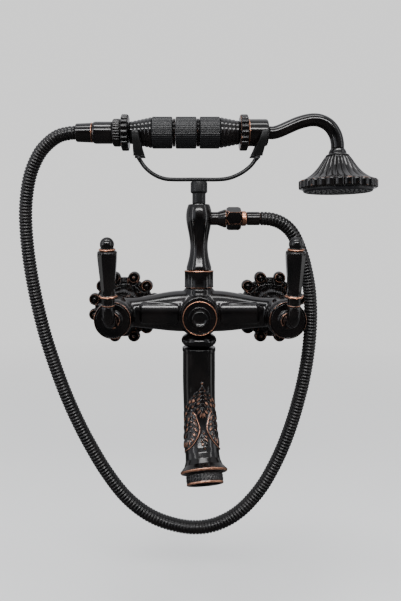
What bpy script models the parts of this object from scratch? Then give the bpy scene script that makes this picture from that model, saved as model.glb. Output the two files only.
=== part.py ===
"""Wall mounted two-handle bath mixer with a telephone hand shower on a cradle.

Frame: +Z up, the wall is the plane Y = 0 and the mixer stands out along -Y.
The origin is on the wall, midway between the two inlets, at the height of the
mixer's body. Dimensions are in millimetres here and the meshes are in metres.
"""
import math

import bmesh
import bpy
from mathutils import Matrix, Vector

MM = 0.001
GAP = 0.3                   # clearance between touching pieces

# Driving dimensions, mm
INLET_SPACING = 150.0       # between the two wall inlets
BODY_DEPTH = 60.0           # from the wall to the body's centre line
WALL_THREAD_R = 10.4        # G 1/2 male thread into the wall
UNION_THREAD_R = 13.0       # G 3/4 male thread into the union nut
WATERWAY_R = 7.0
ROSETTE_LOBES = (18.2, 46.9, 75.6, 104.4, 133.1, 161.8)    # degrees from the top, on both sides
ROSETTE_LOBE_CENTRE = 31.7
ROSETTE_LOBE_R = 6.2
ROSETTE_WEB_R = 30.6        # outline between the lobes
RING_LOBES = 18             # lobes round each of the hand shower's two rings
ROSETTE_THICK = 7.5
BARREL_R = 17.0             # the body's two end barrels, along Y
BARREL_BACK = 38.5
BARREL_FRONT = 88.0
HUB_FRONT = 80.0            # front of the body's central hub
HUB_R = 17.5
LEVER_LEAN = math.radians(9.0)
LEVER_STEM_R = 5.3
NECK_TOP = 25.0             # top of the body's upper neck
COLLAR_TOP = 41.0
RISER_TOP = 101.5
OUTLET_Z = 88.5             # height of the hose outlet on the riser
HANDSET_Z = 167.4           # the hand shower's axis when it is in the cradle
YOKE_Z = 124.4
YOKE_R = 1.9
ROSE_X = 127.5              # the shower rose's centre line
NECK_TUBE_R = 6.0
SPOUT_TOP = -29.5
SPOUT_STRAIGHT = 29.5       # straight length before the spout bends forward
SPOUT_BEND_R = 128.0
SPOUT_BEND = math.radians(31.5)
SPOUT_REST_TURN = math.radians(9.0)
HOSE_R = 6.4
HOSE_LEAD = 3.6             # straight end of the hose in each fitting's mouth

# The hose's route from the riser's outlet round to the hand shower's tail, mm
HOSE_ROUTE = [
    (60, -60, 88.5), (67.3, -59.5, 87.7), (74.2, -58.1, 85.5), (80.6, -56, 81.8), (86, -53.6, 76.9),
    (90.4, -51, 70.8), (95.8, -47.2, 60), (101.4, -43.2, 45),
    (107, -38.4, 21), (109, -35.5, -7), (107.4, -34, -36), (103, -33, -65), (96.6, -32, -92),
    (88.4, -31, -119), (77, -30, -147), (61.5, -30, -174), (41.5, -30, -196), (20, -30, -208.5),
    (-2, -30, -212.5), (-26, -30, -209), (-49, -30, -199.5), (-70.5, -30, -182.5), (-89, -30, -159),
    (-104.4, -31, -133), (-117.6, -32, -107), (-129.6, -33, -79), (-140, -34, -50), (-148.6, -35, -22),
    (-155.8, -36, 8), (-161.6, -37.2, 40), (-165, -39, 72), (-165, -41.6, 101), (-160, -45.6, 128.6),
    (-150.4, -50.2, 148.4), (-139.6, -54.6, 159.2), (-128.6, -58.2, 165.2), (-117, -60, 167.4),
]

SEGMENTS = 20
FINE_SEGMENTS = 28

SIDES = (("left", -1.0), ("right", 1.0))


def clear_scene():
    for obj in list(bpy.data.objects):
        bpy.data.objects.remove(obj, do_unlink=True)


def new_collection(name):
    collection = bpy.data.collections.new(name)
    bpy.context.scene.collection.children.link(collection)
    return collection


def new_material(name, colour, roughness, metallic):
    material = bpy.data.materials.new(name)
    material.use_nodes = True
    shader = material.node_tree.nodes["Principled BSDF"]
    shader.inputs["Base Color"].default_value = (*colour, 1.0)
    shader.inputs["Roughness"].default_value = roughness
    shader.inputs["Metallic"].default_value = metallic
    return material


clear_scene()
PARTS = new_collection("wall_mounted_bath_faucet")
CUTTERS = new_collection("cutters")
BRONZE = new_material("dark_bronze", (0.012, 0.011, 0.011), 0.18, 0.9)
COPPER = new_material("copper_edge", (0.55, 0.22, 0.12), 0.35, 1.0)
MATTE = new_material("matte_black", (0.02, 0.02, 0.022), 0.6, 0.0)
RUBBER = new_material("black_rubber", (0.015, 0.015, 0.015), 0.7, 0.0)
BRASS = new_material("brass", (0.6, 0.45, 0.2), 0.35, 1.0)
CERAMIC = new_material("cartridge_plastic", (0.75, 0.75, 0.72), 0.5, 0.0)


# Modelling helpers

def add_object(name, data, material=None, collection=None):
    obj = bpy.data.objects.new(name, data)
    (collection or PARTS).objects.link(obj)
    if material:
        data.materials.append(material)
    return obj


def make_cutter(obj):
    """Keep an object only as the tool of a Boolean."""
    for collection in list(obj.users_collection):
        collection.objects.unlink(obj)
    CUTTERS.objects.link(obj)
    obj.hide_render = True
    obj.display_type = "WIRE"
    return obj


def boolean(obj, tool, operation):
    modifier = obj.modifiers.new(operation.lower(), "BOOLEAN")
    modifier.operation = operation
    modifier.solver = "EXACT"
    modifier.object = make_cutter(tool)
    return obj


def along(axis):
    """Rotation that turns local Z to the named direction."""
    return {
        "+z": Matrix.Identity(4),
        "-y": Matrix.Rotation(math.pi / 2, 4, "X"),
        "+x": Matrix.Rotation(math.pi / 2, 4, "Y"),
    }[axis]


def turned(name, outer, material, place=(0, 0, 0), axis="+z", bore=None, segments=SEGMENTS):
    """A turned piece: outer and bore are (radius, height) points, low to high."""
    profile = [Vector((r, 0, h)) * MM for r, h in reversed(outer)]
    if bore:
        profile += [Vector((r, 0, h)) * MM for r, h in bore]
    else:
        profile.insert(0, Vector((0, 0, outer[-1][1])) * MM)
        profile.append(Vector((0, 0, outer[0][1])) * MM)
    edges = [(i, i + 1) for i in range(len(profile) - 1)]
    if bore:
        edges.append((len(profile) - 1, 0))
    mesh = bpy.data.meshes.new(name)
    mesh.from_pydata(profile, edges, [])
    obj = add_object(name, mesh, material)
    screw = obj.modifiers.new("turn", "SCREW")
    screw.steps = screw.render_steps = segments
    screw.use_merge_vertices = True
    screw.merge_threshold = 0.00001
    screw.use_smooth_shade = True
    obj.matrix_world = Matrix.Translation(Vector(place) * MM) @ along(axis)
    return obj


def arc(centre_r, centre_h, radius, start, end, count):
    """Points (radius, height) along an arc, angles in degrees from +radius."""
    points = []
    for i in range(count):
        angle = math.radians(start + (end - start) * i / (count - 1))
        points.append((centre_r + radius * math.cos(angle), centre_h + radius * math.sin(angle)))
    return points


def mesh_object(name, bm, material, place=(0, 0, 0), axis="+z"):
    mesh = bpy.data.meshes.new(name)
    bmesh.ops.recalc_face_normals(bm, faces=bm.faces)
    bm.to_mesh(mesh)
    bm.free()
    obj = add_object(name, mesh, material)
    obj.matrix_world = Matrix.Translation(Vector(place) * MM) @ along(axis)
    return obj


def loft(name, rings, material):
    """A closed solid through rings of the same number of points, capped at both ends."""
    bm = bmesh.new()
    rows = [[bm.verts.new(Vector(p) * MM) for p in ring] for ring in rings]
    count = len(rows[0])
    for low, high in zip(rows, rows[1:]):
        for i in range(count):
            j = (i + 1) % count
            bm.faces.new((low[i], low[j], high[j], high[i]))
    bm.faces.new(rows[0])
    bm.faces.new(rows[-1])
    return mesh_object(name, bm, material)


def prism(name, outline, low, high, material, place=(0, 0, 0), axis="+z"):
    """A flat outline, (x, y) points, extruded from low to high along the axis."""
    bm = bmesh.new()
    bottom = [bm.verts.new(Vector((x, y, low)) * MM) for x, y in outline]
    face = bm.faces.new(bottom)
    lifted = bmesh.ops.extrude_face_region(bm, geom=[face])["geom"]
    moved = [v for v in lifted if isinstance(v, bmesh.types.BMVert)]
    bmesh.ops.translate(bm, verts=moved, vec=(0, 0, (high - low) * MM))
    return mesh_object(name, bm, material, place, axis)


def smooth_path(points, per_span):
    """A Catmull-Rom curve through the points."""
    knots = [Vector(p) for p in points]
    knots = [knots[0] * 2 - knots[1]] + knots + [knots[-1] * 2 - knots[-2]]
    path = []
    for i in range(1, len(knots) - 2):
        a, b, c, d = knots[i - 1:i + 3]
        for step in range(per_span):
            t = step / per_span
            path.append(0.5 * (2 * b + (c - a) * t + (2 * a - 5 * b + 4 * c - d) * t * t
                               + (3 * b - a - 3 * c + d) * t ** 3))
    path.append(knots[-2])
    return path


def even_path(path, count):
    """The same path with evenly spaced points."""
    lengths = [0.0]
    for a, b in zip(path, path[1:]):
        lengths.append(lengths[-1] + (b - a).length)
    points = []
    span = 0
    for i in range(count):
        target = lengths[-1] * i / (count - 1)
        while span < len(path) - 2 and lengths[span + 1] < target:
            span += 1
        t = (target - lengths[span]) / (lengths[span + 1] - lengths[span])
        points.append(path[span].lerp(path[span + 1], min(max(t, 0.0), 1.0)))
    return points


def tube(name, path, radius, material, resolution=4, taper=None):
    """A round bar along a path; taper gives each point's share of the radius."""
    curve = bpy.data.curves.new(name, "CURVE")
    curve.dimensions = "3D"
    curve.bevel_depth = radius * MM
    curve.bevel_resolution = resolution
    curve.use_fill_caps = True
    spline = curve.splines.new("POLY")
    spline.points.add(len(path) - 1)
    for i, point in enumerate(path):
        spline.points[i].co = (*(Vector(point) * MM), 1.0)
        spline.points[i].radius = taper[i] if taper else 1.0
    return add_object(name, curve, material)


def to_mesh(obj):
    """Turn a curve object into a closed mesh object, so that a Boolean can use it."""
    bpy.context.view_layer.update()
    depsgraph = bpy.context.evaluated_depsgraph_get()
    mesh = bpy.data.meshes.new_from_object(obj.evaluated_get(depsgraph))
    bm = bmesh.new()
    bm.from_mesh(mesh)
    bmesh.ops.remove_doubles(bm, verts=bm.verts, dist=0.00001)
    bm.to_mesh(mesh)
    bm.free()
    name, matrix = obj.name, obj.matrix_world.copy()
    bpy.data.objects.remove(obj, do_unlink=True)
    mesh_obj = add_object(name, mesh)
    mesh_obj.matrix_world = matrix
    return mesh_obj


def hexagon(across_corners):
    return [(across_corners * math.cos(math.radians(60 * k)),
             across_corners * math.sin(math.radians(60 * k))) for k in range(6)]


def lobed(lobes, web, lobe_centre, lobe_r, count):
    """Outline of a round plate with a round lobe at each of the given angles from its top."""
    outline = []
    for i in range(count):
        angle = 2 * math.pi * i / count
        off = min(abs((angle - lobe + math.pi) % (2 * math.pi) - math.pi) for lobe in lobes)
        reach = web
        side = lobe_centre * math.sin(off)
        if side < lobe_r and off < math.pi / 2:
            reach = max(web, lobe_centre * math.cos(off) + math.sqrt(lobe_r ** 2 - side ** 2))
        outline.append((reach * math.cos(angle + math.pi / 2), reach * math.sin(angle + math.pi / 2)))
    return outline


def rounded_ring(x, centre, half_height, half_depth, count=16, squareness=0.6):
    """A rounded rectangle in the plane of one X, as a superellipse."""
    ring = []
    for i in range(count):
        angle = 2 * math.pi * (i + 0.5) / count
        c, s = math.cos(angle), math.sin(angle)
        y = -BODY_DEPTH + half_depth * math.copysign(abs(c) ** squareness, c)
        z = centre + half_height * math.copysign(abs(s) ** squareness, s)
        ring.append((x, y, z))
    return ring


# Wall connections

def build_inlet(side, sign):
    x = sign * INLET_SPACING / 2
    turned(f"wall_union_{side}", [(WALL_THREAD_R, -16), (WALL_THREAD_R, 2), (UNION_THREAD_R, 2.4),
                                  (UNION_THREAD_R, 30)],
           BRASS, (x, 0, 0), "-y", bore=[(WATERWAY_R, -16), (WATERWAY_R, 30)])
    lobes = [sign * math.radians(lobe) for sign in (-1, 1) for lobe in ROSETTE_LOBES]
    flower = lobed(lobes, ROSETTE_WEB_R, ROSETTE_LOBE_CENTRE, ROSETTE_LOBE_R, 100)
    plate = prism(f"rosette_{side}", flower, 0, ROSETTE_THICK, BRONZE, (x, 0, 0), "-y")
    dome = turned(f"rosette_dome_{side}", [(24, 2), (23, 9.5), (20, 13.5), (17.5, 17), (16.5, 21)],
                  BRONZE, (x, 0, 0), "-y", segments=FINE_SEGMENTS)
    hole = turned(f"rosette_hole_{side}", [(UNION_THREAD_R + 0.5, -2), (UNION_THREAD_R + 0.5, 26)],
                  BRONZE, (x, 0, 0), "-y")
    boolean(plate, dome, "UNION")
    boolean(plate, hole, "DIFFERENCE")
    nut = prism(f"union_nut_{side}", hexagon(17.3), 22, 38, BRONZE, (x, 0, 0), "-y")
    socket = turned(f"nut_socket_{side}", [(13.5, 20), (13.5, 35.7), (11.5, 35.8), (11.5, 40)],
                    BRONZE, (x, 0, 0), "-y")
    boolean(nut, socket, "DIFFERENCE")
    turned(f"union_gasket_{side}", [(12.6, 30.3), (12.6, 32)], RUBBER, (x, 0, 0), "-y",
           bore=[(WATERWAY_R, 30.3), (WATERWAY_R, 32)])


# Mixer body

def build_body():
    hub = turned("mixer_body", [(10, 40), (14.5, 42), (17, 46), (18.6, 52), (18.8, 62), (HUB_R, 72),
                                (16.2, HUB_FRONT)], BRONZE, (0, 0, 2), "-y", segments=FINE_SEGMENTS)
    for side, sign in SIDES:
        rings = [rounded_ring(sign * x, centre, height, depth) for x, centre, height, depth in
                 ((6, 3.7, 18.5, 15.5), (18, 3.7, 18.2, 15.2), (40, 3.1, 15.4, 14.4), (66, 2.4, 13, 13.4))]
        boolean(hub, loft(f"arm_{side}", rings, BRONZE), "UNION")
        x = sign * INLET_SPACING / 2
        room = turned(f"barrel_room_{side}", [(14, 36), (14, 92)], BRONZE, (x, 0, 0), "-y")
        boolean(hub, room, "DIFFERENCE")
        barrel = turned(f"barrel_{side}", [(12.9, 32.3), (12.9, 35.4), (11, 35.5), (11, BARREL_BACK),
                                           (15, BARREL_BACK), (BARREL_R, 42), (BARREL_R, 84),
                                           (15.2, BARREL_FRONT)], BRONZE, (x, 0, 0), "-y",
                        bore=[(WATERWAY_R, 32.3), (WATERWAY_R, 60), (11.6, 60.1), (11.6, BARREL_FRONT)])
        boolean(hub, barrel, "UNION")
    neck = turned("upper_neck", [(17, 4), (15.6, 15), (13.6, 21), (13, NECK_TOP), (9.2, NECK_TOP + 0.1),
                                 (9.2, 33)], BRONZE, (0, -BODY_DEPTH, 0))
    boolean(hub, neck, "UNION")
    outlet = turned("lower_neck", [(9, -28), (9, -16.5), (13, -16.4), (15.5, -4)], BRONZE,
                    (0, -BODY_DEPTH, 0))
    boolean(hub, outlet, "UNION")
    chamber = turned("diverter_chamber", [(9, 52), (9, 84)], BRONZE, (0, 0, 0), "-y")
    boolean(hub, chamber, "DIFFERENCE")


def build_valve(side, sign):
    x = sign * INLET_SPACING / 2
    turned(f"valve_cartridge_{side}", [(11.2, 60.4), (11.2, 87.6)], CERAMIC, (x, 0, 0), "-y",
           bore=[(4.3, 60.4), (4.3, 87.6)])
    turned(f"valve_spindle_{side}", [(3.9, 64), (3.9, 92)], BRASS, (x, 0, 0), "-y", segments=16)


# Lever handles

def build_lever(side, sign):
    x = sign * INLET_SPACING / 2
    turned(f"handle_hub_{side}", [(15.3, 88.3), (15.9, 89.3), (15.9, 93.6), (15, 94.6), (14, 93.8),
                                  (8.6, 95.2), (6.6, 96.5)],
           BRONZE, (x, 0, 0), "-y", bore=[(4.2, 88.3), (4.2, 92.4), (0.6, 92.5), (0.6, 96.5)])
    elbow = [Vector((x, -96.8, 0)), Vector((x, -104, 0))]
    bend = 12.5
    for i in range(1, 7):
        angle = (math.pi / 2 + LEVER_LEAN) * i / 6
        elbow.append(Vector((x, -104 - bend * math.sin(angle), bend * (1 - math.cos(angle)))))
    top = elbow[-1]
    lean = Vector((0, -math.sin(LEVER_LEAN), math.cos(LEVER_LEAN)))
    elbow.append(top + lean * 7.5)
    tube(f"lever_stem_{side}", elbow, LEVER_STEM_R, BRONZE)
    foot = elbow[-1] + lean * GAP
    tilt = Matrix.Translation(foot * MM) @ Matrix.Rotation(LEVER_LEAN, 4, "X")
    grip = turned(f"lever_grip_{side}", [(5, 0), (7.7, 0.4), (7.7, 2.2), (5.6, 3), (5.6, 5), (6.9, 22),
                                         (7.9, 33), (7.9, 37), (7, 38.4)], BRONZE, segments=16)
    grip.matrix_world = tilt
    ball = turned(f"lever_finial_{side}", [(5.2, 38.7), (6.8, 39), (6.8, 40.2), (5, 40.7)]
                  + arc(0, 43.6, 5.7, -25, 75, 6), BRONZE, segments=16)
    ball.matrix_world = tilt


# Diverter

def build_diverter():
    place = (0, 0, 0)
    turned("diverter_cartridge", [(8.7, 54), (8.7, 79.4)], CERAMIC, place, "-y",
           bore=[(2.9, 54), (2.9, 79.4)], segments=20)
    turned("diverter_dial", [(14.6, HUB_FRONT + GAP), (15.2, 81.2), (15.2, 83.4), (14.2, 84.4), (13.2, 83.6),
                             (8.6, 83.6)],
           BRONZE, place, "-y", bore=[(2.9, HUB_FRONT + GAP), (2.9, 83.6)], segments=FINE_SEGMENTS)
    turned("diverter_knob", [(2.5, 62), (2.5, 83.9), (7.4, 84), (7.4, 86)] + arc(0, 84.2, 7.6, 15, 75, 5),
           BRONZE, place, "-y", segments=20)


# Riser and cradle

def build_riser():
    turned("riser_collar", [(12.6, NECK_TOP + GAP), (13.6, 26.3), (13.6, 40), (12.6, COLLAR_TOP)], BRONZE,
           (0, -BODY_DEPTH, 0), bore=[(9.6, NECK_TOP + GAP), (9.6, COLLAR_TOP)])
    riser = turned("riser", [(9.2, 33.3), (9.2, 41.2), (11.5, COLLAR_TOP + GAP), (11, 46), (8.8, 54),
                             (8.1, 61.4), (8.9, 70), (11, 81), (11.9, 90), (11.2, 96), (10, RISER_TOP)],
                   BRONZE, (0, -BODY_DEPTH, 0))
    stub = turned("outlet_stub", [(6.1, 5), (6.1, 18), (8.5, 24), (8.5, 25), (5.6, 25.1), (5.6, 36)],
                  BRONZE, (0, -BODY_DEPTH, OUTLET_Z), "+x", segments=20)
    boolean(riser, stub, "UNION")
    nut = prism("hose_nut", hexagon(10.7), 25 + GAP, 38.3, BRONZE, (0, -BODY_DEPTH, OUTLET_Z), "+x")
    bore = turned("hose_nut_bore", [(6, 20), (6, 40)], BRONZE, (0, -BODY_DEPTH, OUTLET_Z), "+x")
    boolean(nut, bore, "DIFFERENCE")
    turned("hose_ring", [(6, 38.6), (6.9, 39.2), (6.9, 42.8), (6, 43.4)], COPPER,
           (0, -BODY_DEPTH, OUTLET_Z), "+x")
    turned("hose_sleeve", [(6.2, 43.7), (6.2, 56)], BRONZE, (0, -BODY_DEPTH, OUTLET_Z), "+x")


def build_cradle():
    turned("cradle_post", [(6.2, RISER_TOP + GAP), (6.2, 111.6), (7.8, 112.2), (7.8, YOKE_Z - YOKE_R - GAP)],
           MATTE, (0, -BODY_DEPTH, 0))
    route = [(-54.6, 142.9), (-49.5, 135.6), (-42, 129.4), (-33.5, 125.6), (-24, YOKE_Z), (-2, YOKE_Z),
             (18, YOKE_Z), (29, 126), (39, 130.4), (47, 136.4), (52.3, 142.9)]
    path = smooth_path([(x, -BODY_DEPTH, z) for x, z in route], 2)
    yoke = to_mesh(tube("cradle_yoke", path, YOKE_R, MATTE, resolution=2))
    for x in (-54.6, 52.3):
        ends = [(x, -BODY_DEPTH - 8.6, 143), (x, -BODY_DEPTH + 8.6, 143)]
        bar = to_mesh(tube("fork_bar", ends, YOKE_R + 0.2, MATTE, resolution=2))
        boolean(yoke, bar, "UNION")
    for side, foot, head, reach in (("left", -54.6, -57.9, 13.7), ("right", 52.3, 59.1, 14.9)):
        for place, sign in (("front", -1.0), ("rear", 1.0)):
            rings = []
            stations = ((0.0, 6.6, 145.5, 9.6, 4.2), (0.35, 10.2, 152, 8.4, 3.8),
                        (0.7, reach, 159.5, 7.2, 3.4), (1.0, reach + 0.6, 166.6, 6.4, 3.2))
            for t, out, z, wide, thick in stations:
                x = foot + (head - foot) * t
                y = -BODY_DEPTH + sign * out
                ring = [(x - wide / 2, y - thick / 2, z), (x + wide / 2, y - thick / 2, z),
                        (x + wide / 2, y + thick / 2, z), (x - wide / 2, y + thick / 2, z)]
                rings.append(ring)
            loft(f"cradle_prong_{side}_{place}", rings, MATTE)


# Hand shower

def build_handset():
    place, axis = (0, -BODY_DEPTH, HANDSET_Z), "+x"
    turned("hose_cone", [(8.3, -113), (9.2, -97.6)], BRONZE, place, axis)
    turned("handset_tail", [(9.4, -97.3), (10.1, -96.4), (10.1, -79.2)], BRONZE, place, axis)
    turned("handset_fluted_ring", [(11.8, -78.9), (12.7, -77.8), (12.7, -72.4), (11.8, -71.3)], BRONZE,
           place, axis)
    lobes = [2 * math.pi * i / RING_LOBES for i in range(RING_LOBES)]
    ring_outline = lobed(lobes, 15.2, 14.6, 2.1, 4 * RING_LOBES)
    prism("handset_lobed_ring_rear", ring_outline, -71, -64.3, BRONZE, place, axis)
    turned("handset_taper_rear", [(9.7, -64), (11.1, -57.5), (12.6, -50.5), (14.2, -43.3)], BRONZE,
           place, axis)
    for number, (low, high) in enumerate(((-43, -24.4), (-21.4, -2.4), (0.6, 19)), start=1):
        turned(f"handset_grip_{number}", [(13.8, low), (14.5, low + 0.7), (14.5, high - 0.7), (13.8, high)],
               MATTE, place, axis)
    for number, (low, high) in enumerate(((-24.1, -21.7), (-2.1, 0.3)), start=1):
        turned(f"handset_grip_ring_{number}", [(13.2, low), (13.2, high)], BRONZE, place, axis)
    turned("handset_taper_front", [(14.1, 19.3), (12.8, 26), (11.4, 32), (10.6, 37.2)], BRONZE, place, axis)
    prism("handset_lobed_ring_front", ring_outline, 37.5, 44.7, BRONZE, place, axis)
    turned("handset_cup", [(11.8, 45), (12.4, 46.5), (12.4, 61.8), (11.4, 63.4), (6.9, 64)],
           BRONZE, place, axis)
    route = [(64.4, 167.4), (68.4, 167.4), (74, 168.9), (82, 172.4), (92, 176.6), (103, 179.2), (112, 178.4),
             (119.8, 174), (125, 166.6), (127.2, 159), (ROSE_X, 152.9)]
    path = even_path(smooth_path([(x, -BODY_DEPTH, z) for x, z in route], 6), 18)
    tube("handset_neck", path, NECK_TUBE_R, BRONZE, resolution=3)
    rose = (ROSE_X, -BODY_DEPTH, 0)
    turned("rose_collar", [(9.6, 145.5), (9.5, 147.2), (8.5, 149.8), (7.3, 152), (6.4, 152.6)], BRONZE, rose)
    turned("rose_bell", [(32, 115.6), (35.2, 116.6), (35.2, 123), (28.6, 125.9), (21.8, 130.8),
                         (17.2, 136), (13.8, 141), (11.2, 145.2)],
           BRONZE, rose, bore=[(31.4, 115.6), (31.4, 120.6), (24, 124), (16.4, 128.8), (10, 136), (6, 142),
                               (6, 145.2)], segments=32)
    turned("rose_face", [(30, 112.4), (31.1, 113.4), (31.1, 120)], MATTE, rose, segments=32)


# Spout

def spout_frame(distance):
    """Centre and direction of the spout's axis, a distance along it from its top."""
    if distance <= SPOUT_STRAIGHT:
        return Vector((0, 0, -distance)), Vector((0, 0, -1))
    angle = min((distance - SPOUT_STRAIGHT) / SPOUT_BEND_R, SPOUT_BEND)
    past = distance - SPOUT_STRAIGHT - angle * SPOUT_BEND_R
    heading = Vector((0, -math.sin(angle), -math.cos(angle)))
    centre = Vector((0, -SPOUT_BEND_R * (1 - math.cos(angle)),
                     -SPOUT_STRAIGHT - SPOUT_BEND_R * math.sin(angle)))
    return centre + heading * past, heading


def build_spout():
    turned("spout_nut", [(10, SPOUT_TOP + GAP), (12.8, -28.9)] + arc(6.1, -23.1, 10, -35, 38, 6)
           + [(12.5, -16.9), (10, -16.8)],
           BRONZE, (0, -BODY_DEPTH, 0), bore=[(9.4, SPOUT_TOP + GAP), (9.4, -16.8)])
    stations = ((0, 13.4), (0.3, 15.3), (3.6, 15.3), (3.8, 14.8), (12, 14.8), (28, 14.8), (42, 14.9),
                (56, 15), (70, 15.3), (82, 15.9), (92, 16.3), (94.5, 15.3), (100, 15.6), (105, 17.6),
                (107.6, 20.3), (109.6, 20.7), (110.4, 16.3), (118.8, 16.1), (119.6, 15.4))
    rings = []
    for distance, radius in stations:
        centre, heading = spout_frame(distance)
        side = Vector((1, 0, 0))
        front = heading.cross(side)
        ring = []
        for i in range(SEGMENTS):
            angle = 2 * math.pi * i / SEGMENTS
            ring.append(centre + side * (radius * math.cos(angle)) + front * (radius * math.sin(angle)))
        rings.append(ring)
    place = Matrix.Translation(Vector((0, -BODY_DEPTH, SPOUT_TOP)) * MM)
    turn = place @ Matrix.Rotation(SPOUT_REST_TURN, 4, "Z")
    spout = loft("spout", rings, BRONZE)
    spout.matrix_world = turn
    end, heading = spout_frame(stations[-1][0])
    tilt = heading.to_track_quat("Z", "Y").to_matrix().to_4x4()
    mouth = turned("spout_mouth", [(13, -14), (13, 3)], BRONZE)
    mouth.matrix_world = turn @ Matrix.Translation(end * MM) @ tilt
    boolean(spout, mouth, "DIFFERENCE")
    aerator = turned("aerator", [(12.7, -13.7), (12.7, -4.4), (11.2, -4.2), (9.8, -5.4)], BRASS)
    aerator.matrix_world = turn @ Matrix.Translation(end * MM) @ tilt


# Hose

def build_hose():
    path = even_path(smooth_path(HOSE_ROUTE, 12), 66)
    lead = Vector((HOSE_LEAD, 0, 0))
    path = [path[0] - lead] + path + [path[-1] + lead]
    tube("hose", path, HOSE_R, RUBBER, resolution=2)


for side_name, side_sign in SIDES:
    build_inlet(side_name, side_sign)
    build_valve(side_name, side_sign)
    build_lever(side_name, side_sign)
build_body()
build_diverter()
build_riser()
build_cradle()
build_handset()
build_spout()
build_hose()
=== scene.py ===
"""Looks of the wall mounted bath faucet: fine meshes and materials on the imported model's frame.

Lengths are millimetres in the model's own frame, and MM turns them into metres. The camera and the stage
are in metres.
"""
import math

import bmesh
import bpy
import numpy as np
from mathutils import Matrix, Vector


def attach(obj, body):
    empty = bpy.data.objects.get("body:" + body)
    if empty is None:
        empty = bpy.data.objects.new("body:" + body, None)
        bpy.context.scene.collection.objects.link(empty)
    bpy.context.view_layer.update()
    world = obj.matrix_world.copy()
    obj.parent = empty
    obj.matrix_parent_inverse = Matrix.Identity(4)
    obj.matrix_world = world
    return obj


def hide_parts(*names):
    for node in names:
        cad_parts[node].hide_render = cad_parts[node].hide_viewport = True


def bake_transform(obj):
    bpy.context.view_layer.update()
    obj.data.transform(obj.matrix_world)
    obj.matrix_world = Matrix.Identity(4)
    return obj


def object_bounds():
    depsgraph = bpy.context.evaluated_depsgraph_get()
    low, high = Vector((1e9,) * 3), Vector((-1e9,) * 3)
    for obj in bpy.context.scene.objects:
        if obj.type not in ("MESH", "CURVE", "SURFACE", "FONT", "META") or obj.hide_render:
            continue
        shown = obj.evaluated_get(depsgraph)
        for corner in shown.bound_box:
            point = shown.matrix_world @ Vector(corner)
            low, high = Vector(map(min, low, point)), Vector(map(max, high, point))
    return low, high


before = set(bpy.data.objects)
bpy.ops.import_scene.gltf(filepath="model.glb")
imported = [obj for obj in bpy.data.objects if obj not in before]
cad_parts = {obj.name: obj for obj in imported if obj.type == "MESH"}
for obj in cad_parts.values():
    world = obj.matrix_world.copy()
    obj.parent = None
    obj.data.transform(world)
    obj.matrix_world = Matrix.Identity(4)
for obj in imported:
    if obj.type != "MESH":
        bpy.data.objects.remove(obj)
CAD_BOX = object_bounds()

MM = 0.001
BODY_DEPTH = -60.0
INLET_X = 75.0
HANDSET_Z = 167.4
OUTLET_Z = 88.5
ROSE_X = 127.5
SPOUT_TOP = -29.5
SPOUT_STRAIGHT = 29.5
SPOUT_BEND_R = 128.0
SPOUT_BEND = math.radians(31.5)
SPOUT_REST_TURN = math.radians(9.0)
LEVER_LEAN = math.radians(9.0)
HOSE_R = 6.4
HOSE_LEAD = 3.6
HOSE_RIB_PITCH = 3.1
HOSE_RIB_DEPTH = 1.15
ROUND = 96                  # points round a turned piece
CORNER_STEPS = 5            # points on a rounded corner
WORN_REACH = 0.35           # copper on a corner ends this far from it
LONG_FLAT = 2.0             # flats longer than this are kept free of copper

HOSE_ROUTE = [
    (60, -60, 88.5), (67.3, -59.5, 87.7), (74.2, -58.1, 85.5), (80.6, -56, 81.8), (86, -53.6, 76.9),
    (90.4, -51, 70.8), (95.8, -47.2, 60), (101.4, -43.2, 45),
    (107, -38.4, 21), (109, -35.5, -7), (107.4, -34, -36), (103, -33, -65), (96.6, -32, -92),
    (88.4, -31, -119), (77, -30, -147), (61.5, -30, -174), (41.5, -30, -196), (20, -30, -208.5),
    (-2, -30, -212.5), (-26, -30, -209), (-49, -30, -199.5), (-70.5, -30, -182.5), (-89, -30, -159),
    (-104.4, -31, -133), (-117.6, -32, -107), (-129.6, -33, -79), (-140, -34, -50), (-148.6, -35, -22),
    (-155.8, -36, 8), (-161.6, -37.2, 40), (-165, -39, 72), (-165, -41.6, 101), (-160, -45.6, 128.6),
    (-150.4, -50.2, 148.4), (-139.6, -54.6, 159.2), (-128.6, -58.2, 165.2), (-117, -60, 167.4),
]


def placed(name, data):
    """A new object in the scene."""
    obj = bpy.data.objects.new(name, data)
    bpy.context.scene.collection.objects.link(obj)
    return obj


# Camera

def make_camera():
    """At the photographer's place: level, square to the wall, a little left of the mixer."""
    data = bpy.data.cameras.new("camera")
    data.lens = 30.4
    data.sensor_width = 36.0
    data.shift_x = 0.029
    data.shift_y = -0.0995
    data.dof.use_dof = False
    camera = placed("camera", data)
    camera.location = (-0.0146, -0.527, 0.0681)
    camera.rotation_euler = (math.pi / 2, 0, 0)
    bpy.context.scene.camera = camera


# Materials

def node(tree, kind, **inputs):
    made = tree.nodes.new(kind)
    for name, value in inputs.items():
        made.inputs[name.replace("_", " ")].default_value = value
    return made


def noise(tree, scale, detail=3.0):
    coords = tree.nodes.new("ShaderNodeTexCoord")
    made = node(tree, "ShaderNodeTexNoise", Scale=scale, Detail=detail)
    tree.links.new(coords.outputs["Object"], made.inputs["Vector"])
    return made


def spread(tree, source, low, high, to_low, to_high):
    made = node(tree, "ShaderNodeMapRange", From_Min=low, From_Max=high, To_Min=to_low, To_Max=to_high)
    tree.links.new(source, made.inputs["Value"])
    return made.outputs["Result"]


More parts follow.
